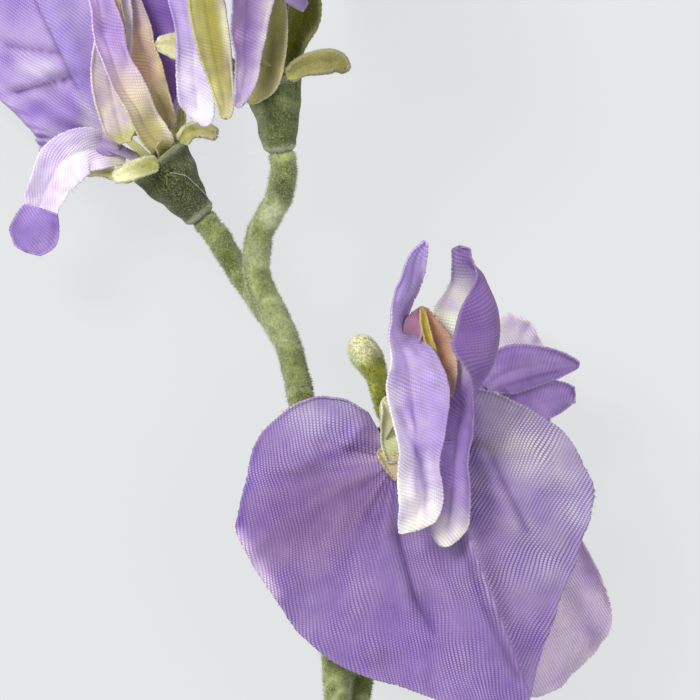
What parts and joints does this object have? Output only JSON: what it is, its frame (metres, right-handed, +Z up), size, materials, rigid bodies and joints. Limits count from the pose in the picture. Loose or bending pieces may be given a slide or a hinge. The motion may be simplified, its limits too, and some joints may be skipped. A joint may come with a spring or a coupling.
{
  "type": "artificial sweet pea stem",
  "caption": "Artificial sweet pea stem with lilac cloth blooms, curled sepals, a closed bud and a long flocked stem on a wire core, lying on a surface.",
  "frame": {"origin": "middle of the footprint, on the surface that the stem lies on", "axes": "+X to the right and +Y from the cut end to the blooms, as seen from above; +Z up from the surface"},
  "size_m": [0.0854, 0.317, 0.0423],
  "materials": {
    "stem_flock": "green flock over a soft plastic sleeve",
    "calyx_flock": "dark green flock over moulded plastic",
    "sepal_felt": "flocked cloth, cream to lime",
    "petal_lilac": "plain woven polyester, dyed lilac",
    "petal_pale_lilac": "plain woven polyester, lilac to cream",
    "petal_cream": "plain woven polyester, cream to tan",
    "wire": "plain cut wire"
  },
  "bodies": {
    "root": {"stem": "stem_flock", "stem_wire": "wire", "bud": "stem_flock", "calyx_a": "calyx_flock", "sepals_a": "sepal_felt", "standard_a": "petal_lilac", "wing_left_a": "petal_pale_lilac", "wing_right_a": "petal_pale_lilac", "keel_a": "petal_cream", "calyx_b": "calyx_flock", "sepals_b": "sepal_felt", "standard_b": "petal_lilac", "wing_left_b": "petal_pale_lilac", "wing_right_b": "petal_pale_lilac", "keel_b": "petal_cream", "calyx_c": "calyx_flock", "sepals_c": "sepal_felt", "standard_c": "petal_lilac", "wing_left_c": "petal_pale_lilac", "wing_right_c": "petal_pale_lilac", "keel_c": "petal_cream", "calyx_d": "calyx_flock", "sepals_d": "sepal_felt", "standard_d": "petal_lilac", "wing_left_d": "petal_pale_lilac", "wing_right_d": "petal_pale_lilac", "keel_d": "petal_cream"}
  },
  "joints": []
}
